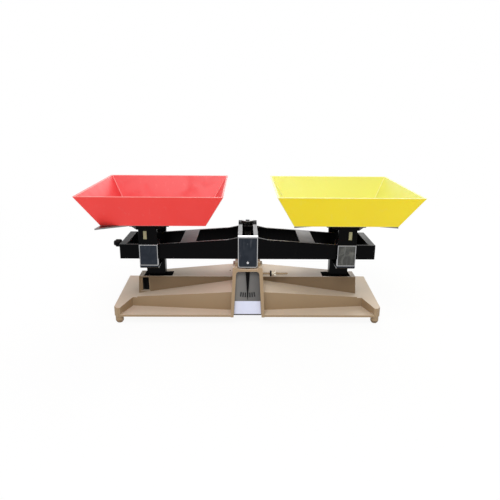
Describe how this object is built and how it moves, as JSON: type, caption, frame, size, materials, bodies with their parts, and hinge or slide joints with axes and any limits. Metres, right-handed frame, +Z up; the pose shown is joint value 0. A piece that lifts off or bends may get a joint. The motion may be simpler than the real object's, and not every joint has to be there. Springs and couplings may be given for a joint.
{
  "type": "school balance",
  "caption": "Equal-arm school balance with a knife-edge beam, loose red and yellow trays, a dial with a hanging pointer and a long beige base with weight compartments.",
  "frame": {"origin": "on the ground below the middle of the central knife edge", "axes": "+X along the beam towards the yellow tray, +Y to the back, +Z up; the dial faces -Y"},
  "size_m": [0.3604, 0.152, 0.15],
  "materials": {
    "beige_plastic": "fine moulded texture, satin",
    "foot_plastic": "matt",
    "black_enamel": "gloss",
    "black_knob": "gloss",
    "chrome_sheet": "polished, lightly scuffed",
    "steel_plate": "satin, rolled",
    "steel_parts": "ground",
    "brass_parts": "aged",
    "nickel_nut": "knurled",
    "red_plastic": "satin, translucent edges",
    "yellow_plastic": "satin, translucent edges",
    "dial_grey": "matt",
    "dial_ink": "matt",
    "label_white": "smooth",
    "ivory_plastic": "smooth"
  },
  "bodies": {
    "base": {"base_casting": "beige_plastic", "foot_pads": "foot_plastic", "dial_plate": "dial_grey", "dial_marks": "dial_ink", "label_plate": "label_white", "front_bearing_plate": "steel_parts", "back_bearing_plate": "steel_parts", "bearing_screws": "steel_parts", "front_cover": "chrome_sheet", "back_cover": "chrome_sheet", "cover_rivets": "chrome_sheet", "top_bridge": "chrome_sheet", "rear_pad": "black_enamel", "rear_clip": "chrome_sheet", "clip_screw": "steel_parts", "zero_rod": "brass_parts", "lever_pin": "steel_parts"},
    "beam": {"beam_frame": "black_enamel", "centre_knife": "steel_parts", "left_knife": "steel_parts", "right_knife": "steel_parts", "pointer": "black_enamel", "knob_stud": "steel_parts"},
    "zero_knob": {"zero_knob": "black_knob"},
    "zero_nut": {"zero_nut": "nickel_nut"},
    "check_lever": {"check_lever": "steel_parts"},
    "left_stirrup": {"left_carrier": "black_enamel", "left_bearings": "steel_parts", "left_strap": "chrome_sheet", "left_post": "black_enamel", "left_post_pin": "steel_parts", "left_slot_insert": "ivory_plastic"},
    "left_plate": {"left_plate": "steel_plate"},
    "red_tray": {"red_tray": "red_plastic"},
    "right_stirrup": {"right_carrier": "black_enamel", "right_bearings": "steel_parts", "right_strap": "chrome_sheet", "right_post": "black_enamel", "right_post_pin": "steel_parts", "right_slot_insert": "ivory_plastic"},
    "right_plate": {"right_plate": "steel_plate"},
    "yellow_tray": {"yellow_tray": "yellow_plastic"}
  },
  "joints": [
    {"name": "beam_tilt", "type": "hinge", "parent": "base", "child": "beam", "pos_m": [0, 0, 0.08], "axis": [0, 1, 0], "range_deg": [-8, 8]},
    {"name": "lever_tilt", "type": "hinge", "parent": "base", "child": "check_lever", "pos_m": [0, 0, 0.022], "axis": [0, 1, 0], "range_deg": [-8, 8]},
    {"name": "left_stirrup_swing", "type": "hinge", "parent": "beam", "child": "left_stirrup", "pos_m": [-0.112, 0, 0.08], "axis": [0, 1, 0], "range_deg": [-8, 8]},
    {"name": "right_stirrup_swing", "type": "hinge", "parent": "beam", "child": "right_stirrup", "pos_m": [0.112, 0, 0.08], "axis": [0, 1, 0], "range_deg": [-8, 8]},
    {"name": "left_plate_lift", "type": "slide", "parent": "left_stirrup", "child": "left_plate", "axis": [0, 0, 1], "range_m": [0, 0.05]},
    {"name": "right_plate_lift", "type": "slide", "parent": "right_stirrup", "child": "right_plate", "axis": [0, 0, 1], "range_m": [0, 0.05]},
    {"name": "red_tray_lift", "type": "slide", "parent": "left_plate", "child": "red_tray", "axis": [0, 0, 1], "range_m": [0, 0.08]},
    {"name": "yellow_tray_lift", "type": "slide", "parent": "right_plate", "child": "yellow_tray", "axis": [0, 0, 1], "range_m": [0, 0.08]},
    {"name": "zero_knob_travel", "type": "slide", "parent": "beam", "child": "zero_knob", "axis": [-1, 0, 0], "range_m": [-0.004, 0.001]},
    {"name": "zero_nut_travel", "type": "slide", "parent": "base", "child": "zero_nut", "axis": [1, 0, 0], "range_m": [-0.006, 0.011]}
  ],
  "couplings": [
    {"joint": "lever_tilt", "follows": "beam_tilt", "ratio": 1},
    {"joint": "left_stirrup_swing", "follows": "beam_tilt", "ratio": -1},
    {"joint": "right_stirrup_swing", "follows": "beam_tilt", "ratio": -1}
  ]
}
